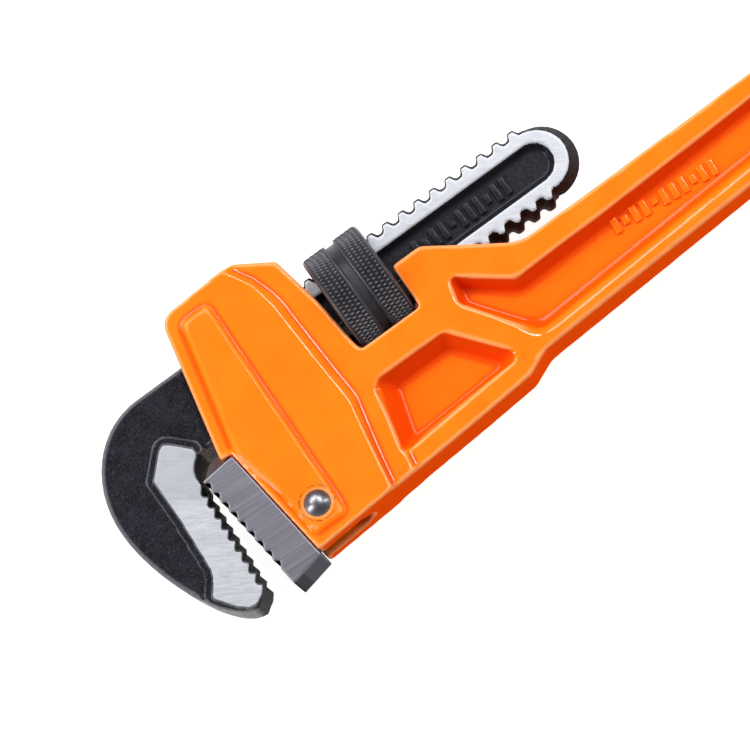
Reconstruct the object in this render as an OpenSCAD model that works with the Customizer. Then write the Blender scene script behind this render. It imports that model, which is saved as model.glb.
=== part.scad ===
// Straight pipe wrench with its jaws shut, lying on its side.
// Design axes: X along the shank from jaws to handle end, Y toward the wrench's back, Z out of its face.
// X = 0, Y = 0 is on the shank's centre line. place() moves that frame to the part's own origin.

/* [Overall] */
// Length over all with the jaw run fully out; it scales the whole wrench, and the sizes below are at 350
nominal_length = 350; // [250:10:450]
// From the middle of the nut window to the end of the handle
handle_reach = 204.3; // [160:1:260]
// How far the hook jaw runs out from shut
jaw_travel = 52; // [36:1:56]
// How far the spring-held jaw can rock open, in degrees
rock_angle = 2; // [0.5:0.5:3]

/* [Housing and handle] */
// Iron left beside the channel that the jaw's neck slides in
channel_wall = 3.3; // [2.6:0.1:5]
// Gap round the neck and the shank in their channel
slide_gap = 0.4; // [0.35:0.05:0.8]
// Half thickness of the web between the pockets of both sides
web_half = 3.5; // [3:0.1:6]
// Radius of the hang hole
hang_hole_r = 5; // [3:0.5:7]

/* [Hook jaw] */
// Thickness over the ground faces of the hook
hook_t = 19; // [17:0.5:24]
// How far the forged faces lie below the ground ones
forge_drop = 1.2; // [0.6:0.1:1.6]
// Spacing of the gripping teeth on the hook
hook_tooth_pitch = 3.6; // [3:0.1:4.4]

/* [Shank thread] */
// Radius over the thread's crests
shank_r = 12.4; // [11.6:0.1:13]
// Thickness of the flat-sided shank
shank_t = 11.5; // [9:0.5:14]
// Lead of the left-hand thread
pitch = 5.38; // [4.4:0.01:6.6]
// Depth of the thread
thread_depth = 1.75; // [1.4:0.05:1.9]

/* [Adjusting nut] */
// Diameter over the knurl
nut_od = 34; // [31:0.5:42]
// Width of the nut
nut_w = 18.4; // [16:0.1:18.6]

/* [Heel jaw] */
// Spacing of the gripping teeth on the heel jaw
heel_tooth_pitch = 3.64; // [3:0.02:4.4]
// Half thickness of the tongue that the pin holds
tongue_half = 5; // [3.5:0.25:6]
// Radius of the pin's shaft
pin_r = 3; // [2:0.1:3.4]

/* [Springs] */
// Wire radius of the coil spring
wire_r = 0.7; // [0.4:0.05:0.8]
// Thickness of the flat spring
leaf_t = 0.9; // [0.5:0.05:1.1]

/* [Hidden] */
$fn = 72;
eps = 0.01;
past = 1;                                   // how far a cut runs past the face it opens
touch = 0.05;                               // gap between pieces that are fixed together
paint = [0.95, 0.42, 0.1];
forged = [0.2, 0.2, 0.21];
ground = [0.6, 0.61, 0.63];
bright = [0.8, 0.8, 0.82];

// Thicknesses, each worked out from the one inside it
hook_half = hook_t / 2;
neck_half = hook_half - forge_drop;
shank_half = shank_t / 2;
channel_half = neck_half + slide_gap;
plateau_half = channel_half + channel_wall;
base_half = plateau_half - 1.4;
flange_half = base_half - 1;
handle_half = base_half - 2.2;
end_half = handle_half - 1;
panel_rise = 0.8;
panel_half = plateau_half + panel_rise;
heel_half = plateau_half - 1;

// The shank and its nut
root_r = shank_r - thread_depth;
crest_flat = pitch * 0.335;
flank_run = pitch * 0.175;
root_flat = pitch - crest_flat - 2 * flank_run;
thread_gap = 0.35;
nut_x = -5.8;
shank_end_x = nut_x + nut_w / 2 + jaw_travel + 0.1; // the thread ends here, just past the nut at full reach
last_tooth_x = shank_end_x - crest_flat / 2 - flank_run;
first_tooth_x = -20;
tooth_count = floor((last_tooth_x - first_tooth_x) / pitch);
shank_end_r = root_r + 0.2;                 // inside the nut's own thread
neck_end_x = -27;
neck_y = 11.6;
nut_r = nut_od / 2;
nut_bore_r = shank_r + thread_gap + 0.05;
nut_ridge_r = root_r + thread_gap + 0.05;
groove_w = 3.1;
groove_depth = 0.9;

// The channel through the housing, tall enough for the rocking jaw
window_left = nut_x - nut_w / 2 - 0.9;
window_right = nut_x + nut_w / 2 + 1;
window_floor = -14.6;
nut_relief_r = nut_r + 0.9;
leaf_rise = 1.5;
leaf_x = -42;
leaf_half = 13.5;
leaf_y = shank_r + 0.4;
function rock_lift(x) = (nut_x - x) * tan(rock_angle);
channel_floor = -shank_r - 0.5;
channel_step_x = neck_end_x + 1;
channel_roof = leaf_y + leaf_rise + leaf_t + rock_lift(leaf_x - leaf_half) + 0.3;
narrow_roof = shank_r + rock_lift(channel_step_x) + slide_gap;
narrow_half = shank_half + 0.6;
coil_r = 4;
coil_turns = 4.5;
coil_pocket_r = coil_r + wire_r + 0.5;
housing_top = 26.4 + max(0, channel_roof - 17.4);
coil_top = housing_top - 2.9;

// The heel jaw and its pin
heel_pin = [-49.9, -43.2];
pin_head_r = pin_r + 0.65;
slot_half = tongue_half + 0.1;
slot_end_x = -39.6;
slot_top = -28.5;
heel_top = [-72.3, -18.9];
heel_bottom = [-67.9, -57.2];
heel_seat_top = [-61.4, -17.8];
heel_seat_bottom = [-57, -53.9];
heel_notches = floor(32.8 / heel_tooth_pitch);

// The hook's toothed face
hook_left = -99.1;
hook_tip_y = -56.4;
hook_teeth = [-73, -19.6];
hook_teeth_dir = [-0.0547, -0.9985];
hook_teeth_out = [0.9985, -0.0547];
hook_tooth_count = floor(36 / hook_tooth_pitch);

handle_end = nut_x + handle_reach;
end_r = 11.2;
end_centre = [handle_end - end_r, -25.9];
hang_hole_x = handle_end - end_r - 0.6;
overall_k = nominal_length / 350;
origin = [(hook_left + handle_end) / 2, (housing_top + heel_bottom.y) / 2, -nut_r];

place() handle();
place() heel_jaw();
place() heel_jaw_pin();
place() hook_jaw();
place() adjusting_nut();
place() flat_spring();
place() coil_spring();
place() spring_rivet();

module place() {
  scale(overall_k) translate(-origin) children();
}

// ---- shapes that the pieces share ----

function unit(v) = v / norm(v);
function flat(p) = [p.x, p.y];
function polar(c, r, a) = [c.x + r * cos(a), c.y + r * sin(a)];

// The corner b between a and c, rounded to radius r with n steps
function corner(a, b, c, r, n) =
  r <= 0 ? [b] :
  let (u = unit(a - b), w = unit(c - b), half = acos(u * w) / 2, run = r / tan(half),
       m = b + unit(u + w) * r / sin(half), p = b + u * run - m, q = b + w * run - m,
       a0 = atan2(p.y, p.x), turn = (atan2(q.y, q.x) - a0 + 540) % 360 - 180)
  [for (i = [0:n]) polar(m, r, a0 + turn * i / n)];

// A closed outline whose points are [x, y, corner radius]
function rounded(pts, n = 6) =
  let (k = len(pts))
  [for (i = [0:k - 1]) each corner(flat(pts[(i + k - 1) % k]), flat(pts[i]), flat(pts[(i + 1) % k]), pts[i].z, n)];

function bezier(a, b, c, d, n = 14) =
  [for (i = [0:n]) let (t = i / n, s = 1 - t) s * s * s * a + 3 * s * s * t * b + 3 * s * t * t * c + t * t * t * d];

// Twice the area that the outline goes round, negative when it runs clockwise
function turned(pts) =
  let (k = len(pts)) [for (i = [0:k - 1]) cross(pts[i], pts[(i + 1) % k])] * [for (p = pts) 1];
function anticlockwise(pts) = turned(pts) > 0 ? pts : [for (i = [len(pts) - 1:-1:0]) pts[i]];

// A block through outlines of equal length, given as [points, z], each seen whole from the centre point
module layered(outlines, centre) {
  levels = [for (v = outlines) [anticlockwise(v[0]), v[1]]];
  n = len(levels[0][0]);
  last = len(levels) - 1;
  rings = [for (v = levels) for (p = v[0]) [p.x, p.y, v[1]]];
  ends = [[centre.x, centre.y, levels[0][1]], [centre.x, centre.y, levels[last][1]]];
  low_end = n * (last + 1);
  sides = [for (k = [0:last - 1]) for (i = [0:n - 1]) let (a = k * n + i, b = k * n + (i + 1) % n)
    each [[a, a + n, b + n], [a, b + n, b]]];
  caps = [for (i = [0:n - 1]) let (j = (i + 1) % n)
    each [[j, low_end, i], [i + last * n, low_end + 1, j + last * n]]];
  polyhedron(concat(rings, ends), concat(sides, caps));
}

module both_sides() {
  children();
  mirror([0, 0, 1]) children();
}

module along_x(x0, x1, r) {
  translate([x0, 0, 0]) rotate([0, 90, 0]) cylinder(h = x1 - x0, r = r);
}

module box(low, high) {
  translate(low) cube(high - low);
}

// A closed ribbon swept along rings of four points each
module swept(rings) {
  n = len(rings);
  m = len(rings[0]);
  sides = [for (i = [0:n - 2]) for (j = [0:m - 1]) let (a = i * m + j, b = i * m + (j + 1) % m)
    each [[a, a + m, b + m], [a, b + m, b]]];
  caps = [[for (j = [0:m - 1]) j], [for (j = [0:m - 1]) n * m - 1 - j]];
  polyhedron([for (r = rings) each r], concat(sides, caps));
}

// One ring of a thread ridge: x is its middle, half_in and half_out its half widths at the two radii
function ridge_ring(x, a, r_in, r_out, half_in, half_out) =
  [[x + half_in, r_in * cos(a), r_in * sin(a)], [x + half_out, r_out * cos(a), r_out * sin(a)],
   [x - half_out, r_out * cos(a), r_out * sin(a)], [x - half_in, r_in * cos(a), r_in * sin(a)]];

// ---- the iron handle with its housing ----

body_outline = [
  [-55.8, housing_top - 1.2, 5], [-31, housing_top + 0.2, 3], [-20.3, 19.6, 1.6], [window_left - 1.3, 2, 0],
  [window_left + 0.1, window_floor, 2.2], [window_right, window_floor, 2], [window_right + 0.4, -0.8, 0.8],
  [14.2, -0.8, 3], [37.5, -16.7, 14], [60, -16.4, 0], [end_centre.x, end_centre.y + end_r, 2],
  [end_centre.x, end_centre.y - end_r, 2], [60, -43.6, 0], [25.5, -45.4, 5], [18, -48.7, 5], [0, -50.1, 0],
  [heel_seat_bottom.x, heel_seat_bottom.y, 0.5], [heel_seat_top.x, heel_seat_top.y, 0],
  [-65, heel_seat_top.y, 0.6], [-61.2, 0, 0]];

// The housing's thicker part ends in a long crescent slope toward the window
crescent_foot = [[-32.6, 30], [-28.2, 20.6], [-24.4, 9], [-24, -6], [-23.2, -24.5], [-30.9, -58]];
crescent_top = [[-36.5, 30], [-29.6, 17.6], [-28.1, 9], [-27.5, -6], [-26.4, -25.5], [-32, -58]];
far_side = [[-120, -120], [-120, 60]];

panel_outline = [[-51.6, 20.9, 2], [-43, 20.9, 1], [-43.4, 6, 0], [-44.8, -50, 1], [-55.3, -50, 1],
                 [-56.9, -34, 0], [-60.7, -17.9, 1]];

pocket_rim = [[-17.9, -24.2, 2.5], [5.8, -24.2, 3], [20.8, -43, 2], [-23.4, -46.4, 1.5]];
pocket_floor = [[-13.6, -28.2, 1.5], [4.2, -28.2, 1.5], [14.6, -41.2, 1.5], [-18, -43, 1.5]];
recess_end = end_centre.x - end_r - 3;
recess_rim = [[15.6, -12.2, 1.4], [13.4, -20.6, 3], [27.2, -41, 3], [recess_end, -33.2, 5],
              [recess_end, -17.8, 5], [60, -22.8, 0], [30.4, -23.6, 5]];
recess_floor = [[16.6, -15.6, 0.8], [15.4, -20.6, 2], [28.6, -38.9, 2], [recess_end - 3, -31.2, 3],
                [recess_end - 3, -20.8, 3], [60, -26.1, 0], [29.6, -27, 4]];

module crescent_block() {
  layered([[concat(far_side, crescent_foot), base_half - 0.5], [concat(far_side, crescent_top), plateau_half]],
          [-70, 0]);
}

module handle_blank() {
  intersection() {
    linear_extrude(2 * base_half, center = true) polygon(rounded(body_outline));
    rotate([90, 0, 0]) linear_extrude(200, center = true) polygon([
      [-90, base_half], [-4, base_half], [26, flange_half + 0.1], [46, flange_half], [97, handle_half],
      [handle_end + past, end_half], [handle_end + past, -end_half], [97, -handle_half], [46, -flange_half],
      [26, -flange_half - 0.1], [-4, -base_half], [-90, -base_half]]);
  }
  translate([end_centre.x, end_centre.y, 0]) cylinder(h = 2 * (end_half + 0.05), r = end_r, center = true);
  both_sides() {
    intersection() {
      linear_extrude(plateau_half) polygon(rounded(body_outline));
      crescent_block();
    }
    panel();
  }
}

module panel() {
  inset = panel_rise;
  centre = [-50.5, -18];
  foot = rounded(panel_outline, 3);
  top = [for (p = foot) p + inset * unit(centre - p)];
  layered([[foot, plateau_half - 0.3], [top, panel_half]], centre);
}

module side_pockets() {
  top = base_half + 0.2;
  layered([[rounded(pocket_floor), web_half], [rounded(pocket_rim), top]], [-2, -36]);
  layered([[rounded(recess_floor), web_half], [rounded(recess_rim), top]], [26, -31]);
  translate([0, 0, flange_half]) linear_extrude(5)
    polygon([[-24.4, -60], [-18.6, -26], [6, -26], [20.5, -42.8], [27, -60]]);
}

module handle() color(paint) difference() {
  handle_blank();
  both_sides() side_pockets();
  box([-80, channel_floor, -channel_half], [channel_step_x, channel_roof, channel_half]);
  box([channel_step_x - eps, channel_floor, -narrow_half], [window_left + 3, narrow_roof, narrow_half]);
  box([window_left + 2, window_floor, -narrow_half], [45, 30, narrow_half]);
  along_x(window_left + 0.2, window_right, nut_relief_r);
  box([-80, -80, -slot_half], [slot_end_x - slot_half, slot_top, slot_half]);
  translate([slot_end_x - slot_half, slot_top, 0]) rotate([90, 0, 0]) cylinder(h = 60, r = slot_half);
  translate([heel_pin.x, heel_pin.y, 0]) cylinder(h = 60, r = pin_r + touch, center = true);
  translate([leaf_x, channel_roof - past, 0]) rotate([-90, 0, 0])
    cylinder(h = coil_top - channel_roof + past, r = coil_pocket_r);
  translate([hang_hole_x, end_centre.y, 0]) cylinder(h = 60, r = hang_hole_r, center = true);
}

// ---- the fixed jaw ----

heel_line = unit(heel_bottom - heel_top);
heel_in = [-heel_line.y, heel_line.x];

// A point on the toothed face, s along it from the top and d into the steel
function heel_at(s, d = 0) = heel_top + s * heel_line + d * heel_in;

module heel_jaw() color(ground) difference() {
  seat_gap = 0.15;
  first_notch = 1.05;
  notch_tip = 0.95;
  notch_len = heel_tooth_pitch * 0.8;
  notch_depth = 1.35;
  face = [heel_at(0.2), for (i = [0:heel_notches - 1]) let (s = first_notch + i * heel_tooth_pitch)
    each [heel_at(s), heel_at(s + notch_tip, notch_depth), heel_at(s + notch_len)], heel_bottom];
  union() {
    linear_extrude(2 * heel_half, center = true)
      polygon(concat(face, [[heel_seat_bottom.x - seat_gap, heel_seat_bottom.y - 1],
                            [heel_seat_top.x - seat_gap, heel_seat_top.y - seat_gap]]));
    linear_extrude(2 * tongue_half, center = true)
      polygon(rounded([[-62, -29.4, 0], [-46.6, -29.4, 2], [-45.4, -50.4, 2], [-60, -51.6, 0]]));
  }
  translate([heel_pin.x, heel_pin.y, 0]) cylinder(h = 60, r = pin_r + touch, center = true);
}

module heel_jaw_pin() color(bright) translate([heel_pin.x, heel_pin.y, 0]) {
  dome = 1.8;
  seat = panel_half + eps;
  dome_r = (pin_head_r * pin_head_r + dome * dome) / (2 * dome);
  half_angle = asin(pin_head_r / dome_r);
  cap = [for (i = [0:8]) polar([0, seat + dome - dome_r], dome_r, 90 - half_angle * i / 8)];
  rotate_extrude() polygon(concat([[0, 0]], [for (p = cap) [max(p.x, 0), p.y]], [[pin_r, seat], [pin_r, 0]]));
  mirror([0, 0, 1]) rotate_extrude()
    polygon(concat([[0, -eps]], [for (p = cap) [max(p.x, 0), p.y]], [[pin_r, seat], [pin_r, -eps]]));
}

// ---- the moving jaw with its threaded shank ----

// Outer edge of the hook, round from the neck's back to its tip
hook_back = concat(
  bezier([-74, neck_y], [-88.5, neck_y], [hook_left, -1], [hook_left, -17]),
  bezier([hook_left, -17], [hook_left, -33], [-89, hook_tip_y], [-79.5, hook_tip_y], 16));

// A point on the toothed face, s along it from the top tooth and d out of the steel
function hook_at(s, d = 0) = hook_teeth + s * hook_teeth_dir + d * hook_teeth_out;
tooth_valley = [2.3 / 3.6, -1.6];
hook_face = [for (i = [hook_tooth_count - 1:-1:0])
  each [hook_at((i + tooth_valley.x) * hook_tooth_pitch, tooth_valley.y), hook_at(i * hook_tooth_pitch)]];
throat_c = [-66.4, -18];
throat_r = 6.5;
hook_throat = [for (i = [0:8]) polar(throat_c, throat_r, 172 - 82 * i / 8)];

// The ground boss that carries the teeth stands out of the forged face
boss_back = [[-68.9, -11.4], [-69, -9.2], [-73.6, -4.4], [-75.2, -3.3], [-76.8, -3.6], [-78.4, -4.9], [-83.8, -10.4],
             [-83.9, -25], [-84.8, -40], [-85.6, -42.2], [-89, -46.6], [-88.6, -48], [-84.6, -53.2],
             [-82, -55.4], [-79.5, -55.8]];

module hook_outline() {
  polygon(concat(hook_back, hook_face, hook_throat, [[neck_end_x, throat_c.y + throat_r], [neck_end_x, neck_y]]));
}

module shank_end() {
  steps = 20;
  face_r = sqrt(pow(shank_end_r, 2) - pow(shank_half, 2));
  mid = [for (i = [0:steps]) polar([shank_end_x, 0], shank_end_r, -90 + 180 * i / steps)];
  face = [for (i = [0:steps]) polar([shank_end_x - 1.1, 0], face_r, -90 + 180 * i / steps)];
  layered([[face, -shank_half], [mid, 0], [face, shank_half]], [shank_end_x, 0]);
}

module shank_recess() {
  depth = 2.5;
  draft = 1.4;
  half = shank_r * 0.464;
  x0 = neck_end_x + 3 + half;
  x1 = shank_end_x - 1.9;
  rim = stadium(x0, x1, half);
  bed = stadium(x0, x1, half - draft);
  layered([[bed, shank_half - depth], [rim, shank_half + 0.02]], [0, 0]);
}

function stadium(x0, x1, r, n = 12) =
  concat([for (i = [0:n]) polar([x1, 0], r, -90 + 180 * i / n)],
         [for (i = [0:n]) polar([x0, 0], r, 90 + 180 * i / n)]);

// One ring round the shank, across its back and then its front; x and r are its place and radius on the back
function shank_ring(x, r, steps = 8) =
  let (lag = function(z) pitch * asin(z / shank_r) / 360)
  concat([for (j = [0:steps]) let (z = shank_half * (2 * j / steps - 1)) [x - lag(z), sqrt(r * r - z * z), z]],
         [for (j = [0:steps]) let (z = shank_half * (1 - 2 * j / steps))
           [x - pitch / 2 + lag(z), -sqrt(r * r - z * z), z]]);

// The shank's thread: ridges on its back and its front, half a lead apart
module threaded_shank() {
  crest = crest_flat / 2;
  foot = crest + flank_run;
  tooth = [[-foot, root_r], [-crest, shank_r], [crest, shank_r], [foot, root_r]];
  start = last_tooth_x - tooth_count * pitch;
  swept(concat(
    [shank_ring(start - foot - 6, shank_r), shank_ring(start - foot - 1.2, shank_r)],
    [for (i = [0:tooth_count]) for (p = tooth) shank_ring(start + i * pitch + p.x, p.y)],
    [shank_ring(last_tooth_x + foot + 1.5, root_r)]));
}

module hook_jaw() color(forged) difference() {
  union() {
    linear_extrude(2 * neck_half, center = true) hook_outline();
    linear_extrude(2 * hook_half, center = true) polygon(concat(boss_back, hook_face, [for (i = [0:5]) hook_throat[i]]));
    threaded_shank();
    shank_end();
  }
  both_sides() shank_recess();
}

// ---- the nut ----

module adjusting_nut() color(forged) {
  x0 = nut_x - nut_w / 2;
  x1 = nut_x + nut_w / 2;
  edge = 1;
  g0 = nut_x - groove_w / 2;
  g1 = nut_x + groove_w / 2;
  mouth = 0.6;
  rim = concat([for (i = [0:4]) polar([-x0 - edge, nut_r - edge], edge, 22.5 * i)],
               [[-g0, nut_r], [-g0 - 0.2, nut_r - groove_depth], [-g1 + 0.2, nut_r - groove_depth], [-g1, nut_r]],
               [for (i = [0:4]) polar([-x1 + edge, nut_r - edge], edge, 90 + 22.5 * i)]);
  bore = [[-x1, nut_bore_r + mouth], [-x1 + mouth, nut_bore_r], [-x0 - mouth, nut_bore_r], [-x0, nut_bore_r + mouth]];
  rotate([0, -90, 0]) rotate_extrude() polygon([for (p = concat(rim, bore)) [p.y, p.x]]);
  intersection() {
    nut_ridge(x0, x1);
    difference() {
      along_x(x0 + mouth, x1 - mouth, nut_bore_r + 0.3);
      along_x(x0, x1, nut_ridge_r - 0.5);
    }
  }
}

// The nut's thread lies midway between the shank's ridges
module nut_ridge(x0, x1) {
  step = 12;
  groove_x = last_tooth_x + pitch / 2;
  a0 = (groove_x - x1 - pitch / 2) * 360 / pitch;
  a1 = (groove_x - x0 + pitch / 2) * 360 / pitch;
  steps = ceil((a1 - a0) / step);
  slope = flank_run / thread_depth;
  tip = root_flat / 2 + slope * (nut_ridge_r - root_r) - thread_gap;
  base_r = nut_bore_r + 0.2;
  base = tip + slope * (base_r - nut_ridge_r);
  swept([for (j = [0:steps]) let (a = a0 + (a1 - a0) * j / steps)
    ridge_ring(groove_x - pitch * a / 360, a, nut_ridge_r, base_r, tip, base)]);
}

// ---- the springs that hold the hook down on its floor ----

function leaf_bow(x) = leaf_rise * pow((x - leaf_x) / leaf_half, 2);

module flat_spring() color(ground) difference() {
  steps = 16;
  xs = [for (i = [0:steps]) leaf_x - leaf_half + 2 * leaf_half * i / steps];
  under = [for (x = xs) [x, leaf_y + leaf_bow(x)]];
  over = [for (i = [steps:-1:0]) [xs[i], leaf_y + leaf_t + leaf_bow(xs[i])]];
  linear_extrude(2 * (neck_half - 2.3), center = true) polygon(concat(under, over));
  translate([leaf_x, 0, 0]) rotate([-90, 0, 0]) cylinder(h = 40, r = 1.5 + touch);
}

module spring_rivet() color(bright) translate([leaf_x, leaf_y + 0.05, 0]) rotate([-90, 0, 0]) {
  cylinder(h = leaf_t + 0.3, r = 1.5);
  translate([0, 0, leaf_t + 0.02]) cylinder(h = 1, r1 = 2.6, r2 = 2);
}

module coil_spring() color(bright) {
  seat = leaf_y + leaf_t + leaf_bow(leaf_x + coil_r + wire_r) + 0.05 + wire_r;
  rise = coil_top - 0.05 - wire_r - seat;
  steps = coil_turns * 20;
  swept([for (i = [0:steps]) let (a = 360 * coil_turns * i / steps)
    [for (j = [0:7]) let (w = 45 * j, r = coil_r + wire_r * cos(w))
      [leaf_x + r * cos(a), seat + rise * i / steps + wire_r * sin(w), r * sin(a)]]]);
}
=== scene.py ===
import math

import bmesh
import bpy
import numpy as np
from mathutils import Matrix, Vector, kdtree


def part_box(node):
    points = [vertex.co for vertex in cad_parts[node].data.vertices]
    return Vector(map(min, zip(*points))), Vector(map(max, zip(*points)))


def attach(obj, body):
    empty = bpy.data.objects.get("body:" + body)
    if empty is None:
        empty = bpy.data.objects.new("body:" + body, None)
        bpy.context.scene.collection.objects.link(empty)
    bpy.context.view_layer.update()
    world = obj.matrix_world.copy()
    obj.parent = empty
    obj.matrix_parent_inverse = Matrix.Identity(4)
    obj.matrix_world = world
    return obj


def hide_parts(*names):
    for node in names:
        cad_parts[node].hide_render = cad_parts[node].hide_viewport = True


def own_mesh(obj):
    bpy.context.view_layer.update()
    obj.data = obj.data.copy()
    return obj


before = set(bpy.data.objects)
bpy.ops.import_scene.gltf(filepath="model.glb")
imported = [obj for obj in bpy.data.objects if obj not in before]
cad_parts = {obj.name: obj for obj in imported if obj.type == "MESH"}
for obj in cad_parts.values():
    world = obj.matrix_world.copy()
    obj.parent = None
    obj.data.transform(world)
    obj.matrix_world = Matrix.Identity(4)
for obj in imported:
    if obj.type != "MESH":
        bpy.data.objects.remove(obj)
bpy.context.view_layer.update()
mm = 0.001

# Places below are in millimetres from a point on the shank's centre line: X runs to the handle's end,
# Y to the wrench's back and Z out of its face. The middle of the nut is at nutX.
nutX = -5.8
nutLow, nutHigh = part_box("adjusting_nut")
shankZero = (nutLow + nutHigh) / 2 - Vector((nutX, 0, 0)) * mm
zero = np.array(shankZero)


def at(x, y, z=0.0):
    return shankZero + Vector((x, y, z)) * mm


def colour(r, g, b):
    return (r, g, b, 1.0)


class Value:  # a shader socket that can be added, multiplied and so on
    def __init__(self, finish, socket):
        self.finish = finish
        self.socket = socket

    def maths(self, operation, *inputs):
        return self.finish.node("ShaderNodeMath", {"operation": operation}, dict(enumerate(inputs)))

    def __add__(self, other):
        return self.maths("ADD", self, other)

    def __radd__(self, other):
        return self.maths("ADD", other, self)

    def __sub__(self, other):
        return self.maths("SUBTRACT", self, other)

    def __rsub__(self, other):
        return self.maths("SUBTRACT", other, self)

    def __mul__(self, other):
        return self.maths("MULTIPLY", self, other)

    def __rmul__(self, other):
        return self.maths("MULTIPLY", other, self)

    def size(self):
        return self.maths("ABSOLUTE", self)

    def most(self, other):
        return self.maths("MAXIMUM", self, other)

    def power(self, exponent):
        return self.maths("POWER", self, exponent)

    def ramp(self, low, high, bottom=0.0, top=1.0):  # eases from bottom at low to top at high
        settings = {"interpolation_type": "SMOOTHSTEP"}
        inputs = {"Value": self, "From Min": low, "From Max": high, "To Min": bottom, "To Max": top}
        return self.finish.node("ShaderNodeMapRange", settings, inputs)

    def band(self, start, end, fade):  # 1 between start and end, fading inside them
        return self.ramp(start, start + fade) * self.ramp(end - fade, end, 1.0, 0.0)


class Finish:  # one material, built round its principled shader
    def __init__(self, name, specular=0.5, **fixed):
        self.material = bpy.data.materials.new(name)
        self.material.use_nodes = True
        self.nodes = self.material.node_tree.nodes
        self.links = self.material.node_tree.links
        self.shader = self.nodes["Principled BSDF"]
        self.shader.inputs["Specular IOR Level"].default_value = specular
        for socket, value in fixed.items():
            self.set(socket, value)
        self.place = self.placeInMillimetres()

    def set(self, name, value):  # baseColor sets Base Color
        words = "".join(" " + c if c.isupper() else c for c in name).title()
        self.plug(self.shader.inputs[words], value)

    def plug(self, socket, value):
        if isinstance(value, Value):
            self.links.new(value.socket, socket)
        else:
            socket.default_value = value

    def node(self, kind, settings=None, inputs=None, output=0):
        made = self.nodes.new(kind)
        for name, value in (settings or {}).items():
            setattr(made, name, value)
        for name, value in (inputs or {}).items():
            self.plug(made.inputs[name], value)
        return Value(self, made.outputs[output])

    def vector(self, operation, a, b):
        return self.node("ShaderNodeVectorMath", {"operation": operation}, {0: a, 1: b})

    def placeInMillimetres(self):
        there = self.node("ShaderNodeTexCoord", output="Object")
        return self.vector("MULTIPLY", self.vector("SUBTRACT", there, tuple(shankZero)), (1000, 1000, 1000))

    def axes(self):
        split = self.node("ShaderNodeSeparateXYZ", None, {0: self.place})
        return split, Value(self, split.socket.node.outputs[1]), Value(self, split.socket.node.outputs[2])

    def noise(self, size, detail=3.0, stretch=(1, 1, 1), turn=0.0, roughness=0.5):  # size in millimetres
        spot = self.place
        if turn:
            inputs = {"Vector": spot, "Angle": math.radians(turn)}
            spot = self.node("ShaderNodeVectorRotate", {"rotation_type": "Z_AXIS"}, inputs)
        spot = self.vector("MULTIPLY", spot, tuple(s / size for s in stretch))
        inputs = {"Vector": spot, "Scale": 1.0, "Detail": detail, "Roughness": roughness}
        return self.node("ShaderNodeTexNoise", None, inputs)

    def attribute(self, name):
        return self.node("ShaderNodeAttribute", {"attribute_name": name}, output="Fac")

    def mix(self, mask, a, b):
        return self.node("ShaderNodeMix", {"data_type": "RGBA"}, {0: mask, 6: a, 7: b}, output=2)

    def between(self, mask, a, b):  # as mix, for plain numbers
        return self.node("ShaderNodeMix", None, {0: mask, 2: a, 3: b})

    def bump(self, height, distance, strength=1.0, under=None):  # distance in millimetres
        inputs = {"Height": height, "Distance": distance * mm, "Strength": strength}
        if under:
            inputs["Normal"] = under
        return self.node("ShaderNodeBump", None, inputs)


# The paint has cracked in a ring round the pressed-in pin, and there is a dark seam close to its head
crackedPaint = {
    "middle": (-49.9, -43.2),
    "crack": (4.75, 5.2, 0.2),  # from, to, fade
    "seam": (3.55, 4.0, 0.15),
    "wander": 1.1,
    "onFace": (12.0, 12.5),
}


def crackedRing(paint):
    s = crackedPaint
    x, y, z = paint.axes()
    away = ((x - s["middle"][0]).power(2.0) + (y - s["middle"][1]).power(2.0)).power(0.5)
    wandering = away + (paint.noise(2.2, 3.0) - 0.5) * s["wander"]
    broken = paint.noise(1.3, 2.0).ramp(0.42, 0.5)
    crack = wandering.band(*s["crack"]) * broken * 0.85
    seam = away.band(*s["seam"]) * 0.8
    return crack.most(seam) * z.ramp(*s["onFace"])


orange = {
    "shade": colour(0.94, 0.182, 0.003),
    "face": colour(0.98, 0.204, 0.005),
    "pocketShade": colour(0.90, 0.115, 0.004),
    "wall": colour(0.80, 0.055, 0.002),
    "corner": colour(0.84, 0.07, 0.002),
    "crack": colour(0.10, 0.02, 0.006),
    "edge": colour(1.0, 0.52, 0.22),
    "pocketHalf": (3.2, 8.4),  # a pocket's floor and the height where its painted shade ends
    "panelSide": (12.0, 12.8, 0.15),  # the raised panel's foot, its top and the fade
}


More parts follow.
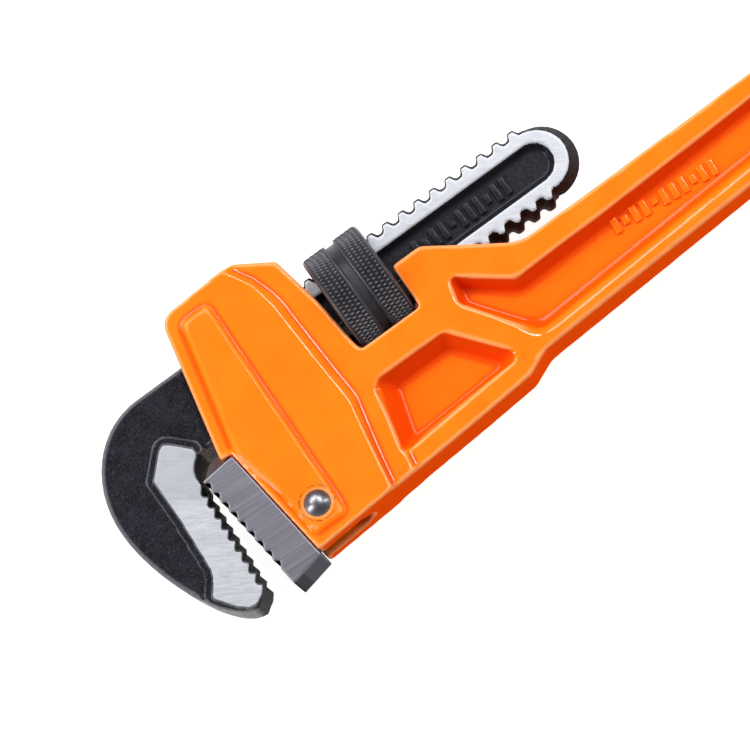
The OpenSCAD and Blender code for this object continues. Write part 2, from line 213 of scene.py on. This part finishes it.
def orangePaint():
    s = orange
    paint = Finish("orangePaint", specular=0.0, coatRoughness=0.06)
    x, y, z = paint.axes()
    edge = paint.attribute("edge")
    hollow = paint.attribute("hollow")
    slope = paint.attribute("slope")
    deep = z.size().ramp(*s["pocketHalf"], 1.0, 0.0)
    base = paint.mix(paint.noise(9.0, 2.0).ramp(0.3, 0.7), s["shade"], s["face"])
    # painted shade: deeper in the pockets the paint is darker and redder
    base = paint.mix(deep * 0.6, base, s["pocketShade"])
    # painted shade: steep walls are darker, apart from those facing the wrench's back, towards the key
    # light
    base = paint.mix(slope * 0.85, base, s["wall"])
    # painted shade in hollows and creases
    base = paint.mix(hollow.ramp(0.03, 0.4, 0.0, 0.8), base, s["corner"])
    base = paint.mix(crackedRing(paint), base, s["crack"])
    # convex edges lighter: thinner worn paint and a painted highlight
    base = paint.mix(edge.ramp(0.3, 0.9, 0.0, 0.42), base, s["edge"])
    paint.set("baseColor", base)
    paint.set("roughness", paint.noise(2.5, 4.0).ramp(0.3, 0.75, 0.3, 0.42))
    panelSide = z.size().band(*s["panelSide"])
    gloss = (1 - slope) * (1 - deep * 0.6) * (1 - panelSide * 0.8) * edge.ramp(0.3, 0.9, 1.0, 0.3)
    paint.set("coatWeight", paint.noise(14.0, 2.0).ramp(0.35, 0.65, 0.85, 1.0) * gloss)
    swell = paint.bump(paint.noise(7.0, 1.0), 0.25, 0.5)
    sand = paint.bump(paint.noise(1.3, 3.0) * deep, 0.22, 0.6, swell)
    paint.set("normal", paint.bump(paint.noise(0.9, 2.0), 0.035, 0.5, sand))
    return paint.material


forging = {
    "scaleDark": colour(0.006, 0.0065, 0.011),
    "scale": colour(0.013, 0.014, 0.022),
    "scaleGrain": colour(0.045, 0.047, 0.064),
    "paintedGlint": colour(0.15, 0.155, 0.18),
    "worn": colour(0.20, 0.205, 0.225),
    "recess": colour(0.016, 0.016, 0.020),
    "mouth": colour(0.004, 0.004, 0.005),
    "ground": colour(0.43, 0.44, 0.48),
    "groundLight": colour(0.52, 0.53, 0.57),
    "scratch": colour(0.36, 0.36, 0.40),
    "blot": colour(0.35, 0.36, 0.40),
    "pit": colour(0.30, 0.30, 0.33),
    "secondCutShade": colour(0.34, 0.35, 0.39),
    "neckX": (-40.2, -39.8),  # the hook lies on one side of this, the shank on the other
    "bossHalf": (9.45, 9.485),
    "wearAndHighlightHalf": (6.9, 7.7),
    "endX": 54.6,  # where the shank's rounded end begins
    "thread": (8.6, 9.2),  # how far out the thread's walls and the end's rim begin
    "nutWindowShade": ((6.0, 8.0), (2.0, 4.0)),
    "cut": (0.74, 78.8, 0.7),  # the line where two grinding cuts meet: slope, offset, fade
}


def forgedSteel():
    s = forging
    steel = Finish("forgedSteel", specular=0.2)
    x, y, z = steel.axes()
    away = z.size()
    onHook = x.ramp(*s["neckX"], 1.0, 0.0)
    onShank = 1 - onHook
    shankFace = onShank * steel.attribute("flat").ramp(0.35, 0.65)
    recess = onShank * (1 - shankFace)
    # painted shade: in the nut's window the ground faces are turned dark, where shadow falls
    shadedByNutWindow = onShank * x.ramp(*s["nutWindowShade"][0], 1.0, 0.0) * y.ramp(*s["nutWindowShade"][1], 1.0, 0.0)
    ground = (onHook * away.ramp(*s["bossHalf"])).most(shankFace) * (1 - shadedByNutWindow * 0.85)
    pastEnd = (x - s["endX"]).most(0.0)
    outer = (pastEnd * pastEnd + y * y).power(0.5).ramp(*s["thread"])
    mouth = steel.attribute("mouth").most(recess * outer)

    # The black scale of the forging, with painted glints and a painted highlight on its rim
    grain = steel.noise(1.0, 4.0, roughness=0.65)
    patch = steel.noise(3.5, 4.0)
    # painted glints: small bright specks standing in for light caught by the pebbly skin
    paintedGlints = steel.noise(0.5, 2.0).ramp(0.6, 0.7) * (1 - recess)
    # lighter along the rim's rounding: edge wear and a painted highlight, kept off the silhouette
    worn = steel.attribute("edge").ramp(0.2, 0.7, 0.0, 0.65) * away.ramp(*s["wearAndHighlightHalf"])
    scale = steel.mix(patch.ramp(0.35, 0.7), s["scaleDark"], s["scale"])
    scale = steel.mix(grain.ramp(0.56, 0.7, 0.0, 0.3) * (1 - recess), scale, s["scaleGrain"])
    scale = steel.mix(paintedGlints * 0.25, scale, s["paintedGlint"])
    scale = steel.mix(worn, scale, s["worn"])
    scale = steel.mix(recess * 0.7, scale, s["recess"])
    scale = steel.mix(mouth, scale, s["mouth"])

    # The ground faces, with the marks of the wheel and painted shade on the second cut's facet
    scratch = steel.noise(0.3, 3.0, (0.07, 1, 1), 30)
    cross = steel.noise(0.35, 3.0, (0.06, 1, 1), -58)
    blot = steel.noise(5.0, 5.0, roughness=0.65)
    pits = steel.noise(0.4, 2.0).ramp(0.58, 0.7)
    slope, offset, fade = s["cut"]
    # painted shade: the upper facet past the line where the two cuts meet is darker, as a slightly tilted
    # face looks
    secondCutShade = onHook * (y + slope * x + offset).ramp(-fade, fade) * 0.55
    bright = steel.mix(scratch.ramp(0.3, 0.7), s["ground"], s["groundLight"])
    bright = steel.mix(cross.ramp(0.6, 0.8, 0.0, 0.3), bright, s["scratch"])
    bright = steel.mix(blot.ramp(0.5, 0.7, 0.0, 0.3), bright, s["blot"])
    bright = steel.mix(pits * 0.35, bright, s["pit"])
    bright = steel.mix(secondCutShade, bright, s["secondCutShade"])

    steel.set("baseColor", steel.mix(ground, scale, bright))
    steel.set("metallic", ground.ramp(0.0, 1.0, 0.0, 0.7))
    dull = grain.ramp(0.3, 0.8, 0.2, 0.4) + mouth * 0.4
    steel.set("roughness", steel.between(ground, dull, scratch.ramp(0.3, 0.7, 0.45, 0.55)))
    rough = steel.bump((grain + patch * 0.8) * (1 - ground) * (1 - recess * 0.95), 1.2, 1.0)
    steel.set("normal", steel.bump((scratch + cross) * ground, 0.004, 0.3, rough))
    return steel.material


def blackNut():
    nut = Finish("blackNut", specular=0.3)
    crown = nut.attribute("crown")
    patch = nut.noise(4.0, 4.0)
    grain = nut.noise(0.5, 4.0)
    base = nut.mix(patch.ramp(0.3, 0.7), colour(0.020, 0.019, 0.023), colour(0.036, 0.034, 0.040))
    base = nut.mix(crown.power(2.0) * grain.ramp(0.3, 0.6, 0.3, 0.8), base, colour(0.19, 0.18, 0.20))
    nut.set("baseColor", base)
    nut.set("metallic", crown.ramp(0.0, 1.0, 0.2, 0.7))
    nut.set("roughness", grain.ramp(0.3, 0.7, 0.36, 0.5))
    nut.set("normal", nut.bump(grain, 0.05, 0.4))
    return nut.material


heelSteel = {
    "ground": colour(0.175, 0.17, 0.20),
    "groundLight": colour(0.215, 0.21, 0.245),
    "line": colour(0.15, 0.15, 0.175),
    "blot": colour(0.14, 0.14, 0.155),
    "side": colour(0.05, 0.05, 0.058),
    "edge": colour(0.4, 0.4, 0.43),
    "mouth": colour(0.006, 0.006, 0.007),
    "sideHalf": (10.3, 10.9),  # below its two faces the jaw is darker
    "turn": 4,  # the grinding lines' angle in degrees
}


def groundSteel():
    s = heelSteel
    steel = Finish("groundSteel", specular=0.0)
    x, y, z = steel.axes()
    line = steel.noise(0.3, 1.0, (0.012, 1, 1), s["turn"])
    fine = steel.noise(0.16, 1.0, (0.015, 1, 1), s["turn"])
    blot = steel.noise(4.0, 4.0)
    side = z.size().ramp(*s["sideHalf"], 1.0, 0.0)
    base = steel.mix(line.ramp(0.3, 0.7), s["ground"], s["groundLight"])
    base = steel.mix(fine.ramp(0.55, 0.75, 0.0, 0.3), base, s["line"])
    base = steel.mix(blot.ramp(0.55, 0.7, 0.0, 0.15), base, s["blot"])
    base = steel.mix(side * 0.7, base, s["side"])
    base = steel.mix(steel.attribute("edge").ramp(0.4, 1.0, 0.0, 0.25), base, s["edge"])
    base = steel.mix(steel.attribute("mouth"), base, s["mouth"])
    steel.set("baseColor", base)
    steel.set("metallic", 0.85 - side * 0.85)
    steel.set("roughness", line.ramp(0.3, 0.7, 0.42, 0.5))
    steel.set("normal", steel.bump(line + fine, 0.004, 0.3))
    return steel.material


def brightPin():
    pin = Finish("brightPin", metallic=1.0)
    grain = pin.noise(0.6, 3.0)
    base = pin.mix(grain.ramp(0.4, 0.8), colour(0.27, 0.27, 0.30), colour(0.17, 0.17, 0.19))
    pin.set("baseColor", base)
    pin.set("roughness", grain.ramp(0.3, 0.8, 0.3, 0.4))
    pin.set("normal", pin.bump(grain, 0.02, 0.3))
    return pin.material


def springSteel():
    steel = Finish("springSteel", metallic=0.9)
    grain = steel.noise(0.6, 4.0)
    base = steel.mix(grain.ramp(0.3, 0.7), colour(0.16, 0.16, 0.17), colour(0.30, 0.30, 0.32))
    steel.set("baseColor", base)
    steel.set("roughness", grain.ramp(0.3, 0.7, 0.3, 0.45))
    steel.set("normal", steel.bump(grain, 0.02, 0.4))
    return steel.material


finishes = {
    "orange_paint": orangePaint(),
    "forged_steel": forgedSteel(),
    "black_nut": blackNut(),
    "ground_steel": groundSteel(),
    "bright_steel": brightPin(),
    "spring_steel": springSteel(),
}
print("finishes made")


# Meshes are made from the frame's solids, with the rounding that casting, forging and wear give
def coordinates(mesh):
    co = np.empty(len(mesh.vertices) * 3)
    mesh.vertices.foreach_get("co", co)
    return (co.reshape(-1, 3) - zero) / mm


def setCoordinates(mesh, points):
    mesh.vertices.foreach_set("co", (points * mm + zero).ravel())
    mesh.update()


def edgePairs(mesh):
    pairs = np.empty(len(mesh.edges) * 2, int)
    mesh.edges.foreach_get("vertices", pairs)
    return pairs.reshape(-1, 2)


def normalsOf(mesh):
    normals = np.empty(len(mesh.vertices) * 3)
    mesh.vertices.foreach_get("normal", normals)
    return normals.reshape(-1, 3)


def neighbourMean(values, pairs, count):
    total = np.zeros_like(values)
    share = np.bincount(pairs.ravel(), minlength=count)
    for axis in range(values.shape[1]):
        total[:, axis] = np.bincount(pairs[:, 0], values[pairs[:, 1], axis], count)
        total[:, axis] += np.bincount(pairs[:, 1], values[pairs[:, 0], axis], count)
    return total / np.maximum(share, 1)[:, None]


def relax(mesh, passes, weight):  # pulls each point toward its neighbours' mean, by its weight
    step = 0.8
    pairs = edgePairs(mesh)
    points = coordinates(mesh)
    for _ in range(passes):
        points += weight[:, None] * step * (neighbourMean(points, pairs, len(points)) - points)
    setCoordinates(mesh, points)


def applyModifiers(obj):
    depsgraph = bpy.context.evaluated_depsgraph_get()
    made = bpy.data.meshes.new_from_object(obj.evaluated_get(depsgraph))
    obj.modifiers.clear()
    old = obj.data
    obj.data = made
    bpy.data.meshes.remove(old)


def remesh(obj, voxel):
    modifier = obj.modifiers.new("remesh", "REMESH")
    modifier.mode = "VOXEL"
    modifier.voxel_size = voxel * mm
    applyModifiers(obj)


def linked(name, mesh):
    piece = bpy.data.objects.new(name, mesh)
    bpy.context.scene.collection.objects.link(piece)
    return piece


def copyOf(node, name):
    piece = linked(name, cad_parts[node].data.copy())
    piece.data.materials.clear()
    return piece


def store(mesh, name, values):
    attribute = mesh.attributes.new(name, "FLOAT", "POINT")
    attribute.data.foreach_set("value", values.astype(np.float32))


def markEdges(mesh, spread, scale):  # stores how convex and how hollow the surface is at each point
    pairs = edgePairs(mesh)
    points = coordinates(mesh)
    smooth = points.copy()
    for _ in range(spread):
        smooth = neighbourMean(smooth, pairs, len(points))
    out = np.einsum("ij,ij->i", points - smooth, normalsOf(mesh)) / scale
    store(mesh, "edge", np.clip(out, 0, 1))
    store(mesh, "hollow", np.clip(-out, 0, 1))


def markSlopes(mesh):  # steep walls, apart from those that face the wrench's back
    normals = normalsOf(mesh)
    tilt = np.clip((0.93 - np.abs(normals[:, 2])) / 0.35, 0, 1)
    store(mesh, "slope", tilt * np.clip((0.6 - normals[:, 1]) * 1.5, 0, 1))


def markMouth(mesh, line, reach, facing):  # walls that face the jaws' mouth, within reach of a line
    points = coordinates(mesh)
    normals = normalsOf(mesh)
    a, b = np.array(line[0]), np.array(line[1])
    along = np.clip((points[:, :2] - a) @ (b - a) / ((b - a) @ (b - a)), 0, 1)
    off = np.linalg.norm(points[:, :2] - a - along[:, None] * (b - a), axis=1)
    wall = np.clip((0.8 - np.abs(normals[:, 2])) / 0.3, 0, 1)
    toward = np.clip((normals[:, 0] * facing + 0.3) * 4, 0, 1)
    store(mesh, "mouth", wall * toward * (off < reach))


def finishPiece(piece, body, slot, *nodes):
    piece.data.materials.append(finishes[slot])
    piece.data.shade_smooth()
    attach(piece, body)
    if nodes:
        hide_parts(*nodes)
    print(piece.name, len(piece.data.polygons), "faces")


def distanceFrom(points, chosen, targets):  # in the XY plane; points that aren't chosen are far away
    tree = kdtree.KDTree(len(targets))
    for i, p in enumerate(targets):
        tree.insert((p[0], p[1], 0), i)
    tree.balance()
    distance = np.full(len(points), 99.0)
    distance[chosen] = [tree.find((p[0], p[1], 0))[2] for p in points[chosen]]
    return distance


# The cast housing and handle: the web's lower wall runs softly into the rail along wallX and wallY
handleCast = {
    "voxel": 0.42,
    "passes": 7,
    "softPasses": 70,
    "wallX": [27, 173],
    "wallY": [-40, -32.2],
    "wallReach": 3.2,
    "softFrom": 22,
    "softOver": 8,
    "webHalf": 3.3,
    "edgeSpread": 8,
    "edgeScale": 0.16,
}


def makeHandle():
    s = handleCast
    piece = copyOf("handle", "castHandle")
    remesh(piece, s["voxel"])
    mesh = piece.data
    relax(mesh, s["passes"], np.ones(len(mesh.vertices)))
    points = coordinates(mesh)
    x, y, height = points[:, 0], points[:, 1], np.abs(points[:, 2])
    nearWall = np.clip(1.8 - np.abs(y - np.interp(x, s["wallX"], s["wallY"])) / s["wallReach"], 0, 1)
    lowWall = (height > s["webHalf"]) * np.clip((x - s["softFrom"]) / s["softOver"], 0, 1) * nearWall
    relax(mesh, s["softPasses"], lowWall)
    markEdges(mesh, s["edgeSpread"], s["edgeScale"])
    markSlopes(mesh)
    finishPiece(piece, "handle", "orange_paint", "handle")


makeHandle()

# The forged hook and its threaded shank
hookForging = {
    "voxel": 0.33,
    "neckX": -45,
    "forgedHalf": 8.3,
    "bossHalf": 9.5,
    "shankHalf": 5.75,
    "skin": 0.15,
    "crown": 1.5,  # how wide the rim's rounding is
    "crownFall": 0.85,
    "lip": 0.6,  # how far the raised land may stand above the rim's rounding
    "land": 2.0,  # how wide the raised land round the boss is
    "landFall": 0.35,
    "ramp": 0.8,
    "outlineHalf": 0.4,
    "outlineFromBoss": 3.2,
    "softX": [-86.5, -86, -42, -41],
    "softness": [1.0, 0.55, 0.55, 0.1],
    "toothX": -79,
    "toothY": -19,
    "toothSoftness": 0.15,
    "mouth": [(-75, -22), (-68, -62)],
    "mouthReach": 12.0,
}


def crownHook(mesh):  # rounds the hook's rim and leaves a raised land round its ground boss
    s = hookForging
    points = coordinates(mesh)
    level = np.abs(normalsOf(mesh)[:, 2])
    height = np.abs(points[:, 2])
    onHook = points[:, 0] < s["neckX"]
    bossTop = points[onHook & (height > s["bossHalf"] - s["skin"]) & (level > 0.9)]
    toBoss = distanceFrom(points, onHook, bossTop[::2])
    outline = points[onHook & (height < s["outlineHalf"]) & (toBoss > s["outlineFromBoss"])]
    toRim = distanceFrom(points, onHook, outline)
    limit = s["forgedHalf"] - s["crownFall"] * np.clip(s["crown"] - toRim, 0, s["crown"])
    crowned = np.where(toRim < s["crown"], np.minimum(height, limit), height)
    landTop = s["bossHalf"] - s["skin"] - s["landFall"] * np.clip(toBoss / s["land"], 0, 1)
    fall = np.clip((toBoss - s["land"]) / s["ramp"], 0, 1)
    raised = landTop + (s["forgedHalf"] - landTop) * fall
    top = onHook & (level > 0.5) & (height > s["forgedHalf"] - 0.5) & (toBoss > 0.4)
    crowned = np.where(top, np.maximum(crowned, np.minimum(raised, limit + s["lip"])), crowned)
    points[:, 2] = np.sign(points[:, 2]) * crowned
    setCoordinates(mesh, points)


def makeHook():
    s = hookForging
    piece = copyOf("hook_jaw", "forgedHook")
    remesh(piece, s["voxel"])
    crownHook(piece.data)
    remesh(piece, s["voxel"])
    mesh = piece.data
    points = coordinates(mesh)
    flat = (np.abs(normalsOf(mesh)[:, 2]) > 0.85) & (np.abs(points[:, 2]) > s["shankHalf"] - 0.2)
    store(mesh, "flat", flat.astype(float))
    weight = np.interp(points[:, 0], s["softX"], s["softness"])
    weight[(points[:, 0] > s["toothX"]) & (points[:, 1] < s["toothY"])] = s["toothSoftness"]
    relax(mesh, 4, weight)
    markEdges(mesh, 4, 0.08)
    markMouth(mesh, s["mouth"], s["mouthReach"], 1)
    finishPiece(piece, "hook_jaw", "forged_steel", "hook_jaw")


makeHook()

# The knurled nut, with a plain groove round its middle
knurledNut = {
    "radius": 17.0,
    "halfWidth": 9.2,
    "edge": 1.5,
    "grooveHalf": 1.55,
    "grooveDepth": 0.9,
    "grooveWall": 0.25,
    "diamonds": 84,
    "lead": 3.0,
    "depth": 0.55,
    "bore": 12.8,
    "boreBevel": 0.7,
    "rows": 116,
    "pointsPerDiamond": 8,
    "sharp": 50,  # degrees
}


def nutSurface():  # the rows along the nut, the radius round each, and how near a crown of the knurl it is
    s = knurledNut
    rows = np.linspace(-s["halfWidth"], s["halfWidth"], s["rows"])
    fromEnd = s["halfWidth"] - np.abs(rows)
    fromGroove = np.abs(rows) - s["grooveHalf"]
    rounding = np.clip(s["edge"] - fromEnd, 0, s["edge"])
    groove = np.clip(-fromGroove / s["grooveWall"], 0, 1)
    radius = s["radius"] - s["edge"] + np.sqrt(np.maximum(s["edge"] ** 2 - rounding ** 2, 0))
    radius -= s["grooveDepth"] * groove * groove * (3 - 2 * groove)
    knurled = np.clip((fromEnd - 0.75) / 0.5, 0, 1) * np.clip((fromGroove - 0.35) / 0.5, 0, 1)
    around = s["diamonds"] * s["pointsPerDiamond"]
    turn = np.arange(around) / around * s["diamonds"]
    leading = rows[:, None] / s["lead"] + turn
    trailing = rows[:, None] / s["lead"] - turn
    valley = np.maximum(np.abs(leading % 1 - 0.5), np.abs(trailing % 1 - 0.5)) * 2
    cut = np.clip((valley - 0.3) / 0.7, 0, 1)
    rings = radius[:, None] - s["depth"] * cut * knurled[:, None]
    rubbed = np.clip(1 - np.abs(fromEnd - 0.45) / 0.4, 0, 1)  # the nut's edges, then the groove's
    rubbed += np.clip(1 - np.abs(fromGroove - 0.2) / 0.3, 0, 1)
    crown = np.maximum((1 - cut) * knurled[:, None], np.clip(rubbed, 0, 1)[:, None])
    return rows, rings, crown


def makeNut():
    s = knurledNut
    rows, rings, crown = nutSurface()
    around = rings.shape[1]
    half, inner = s["halfWidth"], s["halfWidth"] - s["boreBevel"]
    wide, bore = s["bore"] + s["boreBevel"], s["bore"]
    rows = np.append(rows, [half, inner, -inner, -half])
    rings = np.vstack([rings, np.outer([wide, bore, bore, wide], np.ones(around))])
    angle = np.arange(around) / around * 2 * math.pi
    across = np.repeat(rows + nutX, around)
    points = np.stack([across, (rings * np.cos(angle)).ravel(), (rings * np.sin(angle)).ravel()], 1)
    count = len(rows)
    faces = []
    for i in range(count):
        k = (i + 1) % count
        for j in range(around):
            n = (j + 1) % around
            faces.append((i * around + j, k * around + j, k * around + n, i * around + n))
    mesh = bpy.data.meshes.new("knurledNut")
    mesh.from_pydata((points * mm + zero).tolist(), [], faces)
    mesh.update()
    store(mesh, "crown", np.concatenate([crown.ravel(), np.zeros(4 * around)]))
    finishPiece(linked("knurledNut", mesh), "adjusting_nut", "black_nut", "adjusting_nut")
    mesh.set_sharp_from_angle(angle=math.radians(s["sharp"]))


makeNut()

# The heel jaw
heelJaw = {
    "voxel": 0.26,
    "passes": 2,
    "softness": 0.6,
    "edgeSpread": 3,
    "edgeScale": 0.06,
    "mouth": [(-66, -24), (-69, -50)],
    "mouthReach": 8.0,
}


def makeHeel():
    s = heelJaw
    piece = copyOf("heel_jaw", "heelJaw")
    remesh(piece, s["voxel"])
    mesh = piece.data
    relax(mesh, s["passes"], np.full(len(mesh.vertices), s["softness"]))
    markEdges(mesh, s["edgeSpread"], s["edgeScale"])
    markMouth(mesh, s["mouth"], s["mouthReach"], -1)
    finishPiece(piece, "handle", "ground_steel", "heel_jaw")


makeHeel()


def dress(node, slot):  # gives a node of the frame a finish and leaves its shape
    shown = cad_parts[node]
    shown.data.materials.clear()
    shown.data.materials.append(finishes[slot])


dress("heel_jaw_pin", "bright_steel")
dress("flat_spring", "spring_steel")
dress("spring_rivet", "bright_steel")


def makeCoil():  # a copy of the coil spring with its own mesh, left in its place from the frame
    piece = copyOf("coil_spring", "pressedCoil")
    finishPiece(piece, "handle", "spring_steel", "coil_spring")
    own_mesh(piece)


makeCoil()

# Plain raised bars where such wrenches carry their size mark
barShape = {
    "shares": [1.0, 0.55, 1.0, 1.0, 0.3, 1.0, 1.0, 1.0, 0.55, 1.0, 1.0],  # of the row's height
    "foot": 0.3,  # how far a bar reaches below the surface it stands on
    "rounding": 0.3,
    "segments": 3,
}
handleBars = {
    "from": (60, -27.5),
    "to": (94, -30.5),
    "level": 3.5,
    "tall": 4.8,
    "rise": 0.85,
    "half": 1.05,
}
shankBars = {
    "from": (12, 0),
    "to": (45, 0),
    "level": 3.25,
    "tall": 5.6,
    "rise": 1.1,
    "half": 0.95,
}


def makeBars(name, s, body, slot):
    bm = bmesh.new()
    a, b = Vector(s["from"]), Vector(s["to"])
    along = (b - a).normalized()
    across = Vector((-along.y, along.x))
    for i, share in enumerate(barShape["shares"]):
        middle = a.lerp(b, (i + 0.5) / len(barShape["shares"]))
        half = s["tall"] / 2 * share
        corners = []
        for sx, sy in ((-1, -1), (1, -1), (1, 1), (-1, 1)):
            corners.append(middle + along * s["half"] * sx + across * half * sy)
        floor = [bm.verts.new(at(c.x, c.y, s["level"] - barShape["foot"])) for c in corners]
        roof = [bm.verts.new(at(c.x, c.y, s["level"] + s["rise"])) for c in corners]
        bm.faces.new(list(reversed(floor)))
        bm.faces.new(roof)
        for j in range(4):
            k = (j + 1) % 4
            bm.faces.new((floor[j], floor[k], roof[k], roof[j]))
    mesh = bpy.data.meshes.new(name)
    bm.to_mesh(mesh)
    bm.free()
    piece = linked(name, mesh)
    bevel = piece.modifiers.new("rounding", "BEVEL")
    bevel.width = barShape["rounding"] * mm
    bevel.segments = barShape["segments"]
    finishPiece(piece, body, slot)


makeBars("handleBars", handleBars, "handle", "orange_paint")
makeBars("shankBars", shankBars, "hook_jaw", "forged_steel")

# The floor glows white, except for a painted shadow under the housing and the nut, where the glow would
# show in their gaps
floorLook = {
    "half": 2.0,
    "level": -0.0006,
    "grey": (colour(0.45, 0.45, 0.45), colour(0.47, 0.47, 0.47)),
    "glow": 0.86,
    "white": colour(1, 1, 1),
    "shadowPatchGlow": colour(0.02, 0.02, 0.02),
    "underX": ((-76, -73), (7, 9)),
    "underY": ((-15, -12), (10, 13)),
}


def makeFloor():
    s = floorLook
    finish = Finish("paleFloor", roughness=0.9)
    finish.set("baseColor", finish.mix(finish.noise(60.0), *s["grey"]))
    x, y, z = finish.axes()
    # painted shadow: the floor stops glowing under the housing and the nut
    under = x.ramp(*s["underX"][0]) * x.ramp(*s["underX"][1], 1.0, 0.0)
    under = under * y.ramp(*s["underY"][0]) * y.ramp(*s["underY"][1], 1.0, 0.0)
    finish.set("emissionColor", finish.mix(under, s["white"], s["shadowPatchGlow"]))
    finish.set("emissionStrength", s["glow"])
    half, level = s["half"], s["level"]
    mesh = bpy.data.meshes.new("floor")
    corners = [(-half, -half, level), (half, -half, level), (half, half, level), (-half, half, level)]
    mesh.from_pydata(corners, [], [(0, 1, 2, 3)])
    floor = linked("floor", mesh)
    mesh.materials.append(finish.material)


# Soft lights that face the origin: place, size and power, and which way the longer side runs
lights = {
    "keyLight": {"place": (-0.25, 0.75, 0.85), "size": (1.0, 0.4), "power": 9.0, "longWay": (0, 0, 1)},
    "leftLight": {"place": (-0.95, 0.05, 0.5), "size": (0.12, 0.9), "power": 5.5, "longWay": (0, 0, 1)},
    "rightLight": {"place": (0.9, -0.25, 0.6), "size": (0.12, 0.7), "power": 3.0, "longWay": (0, 0, 1)},
    "frontLight": {"place": (0.46, 0.34, 1.05), "size": (0.2, 0.7), "power": 7.5, "longWay": (0, 1, 0)},
}
skyStrength = 0.2


def makeSoftLight(name):
    s = lights[name]
    light = bpy.data.lights.new(name, "AREA")
    light.shape = "RECTANGLE"
    light.size, light.size_y = s["size"]
    light.energy = s["power"]
    lamp = linked(name, light)
    place = Vector(s["place"])
    back = place.normalized()
    longWay = Vector(s["longWay"])
    up = (longWay - back * back.dot(longWay)).normalized()
    turn = Matrix((up.cross(back), up, back)).transposed().to_4x4()
    lamp.matrix_world = Matrix.Translation(place) @ turn


def makeWorld():
    world = bpy.data.worlds.new("studio")
    bpy.context.scene.world = world
    world.use_nodes = True
    background = world.node_tree.nodes["Background"]
    background.inputs["Color"].default_value = colour(1, 1, 1)
    background.inputs["Strength"].default_value = skyStrength


cameraPlace = {
    "eye": (-17.0, -250.85, 1030.0),
    "aim": (-16.6, -20.9, 0.0),
    "roll": 36,  # degrees
    "viewWidth": 208.3333,  # what the picture spans at the wrench, in millimetres
    "sensor": 36.0,
    "clip": (0.05, 20.0),
}


def makeCamera():
    s = cameraPlace
    eye = at(*s["eye"])
    aim = at(*s["aim"])
    forward = (aim - eye).normalized()
    across = Vector((1, 0, 0))
    across = (across - across.dot(forward) * forward).normalized()
    down = forward.cross(across)
    roll = math.radians(s["roll"])
    right = across * math.cos(roll) + down * math.sin(roll)
    up = across * math.sin(roll) - down * math.cos(roll)
    camera = bpy.data.cameras.new("camera")
    camera.sensor_width = s["sensor"]
    camera.lens = s["sensor"] * (aim - eye).length / mm / s["viewWidth"]
    camera.clip_start, camera.clip_end = s["clip"]
    holder = linked("camera", camera)
    turn = Matrix((right, up, -forward)).transposed().to_4x4()
    holder.matrix_world = Matrix.Translation(eye) @ turn
    bpy.context.scene.camera = holder


makeFloor()
for name in lights:
    makeSoftLight(name)
makeWorld()
makeCamera()
bpy.context.scene.view_settings.view_transform = "Standard"
print("stage made")
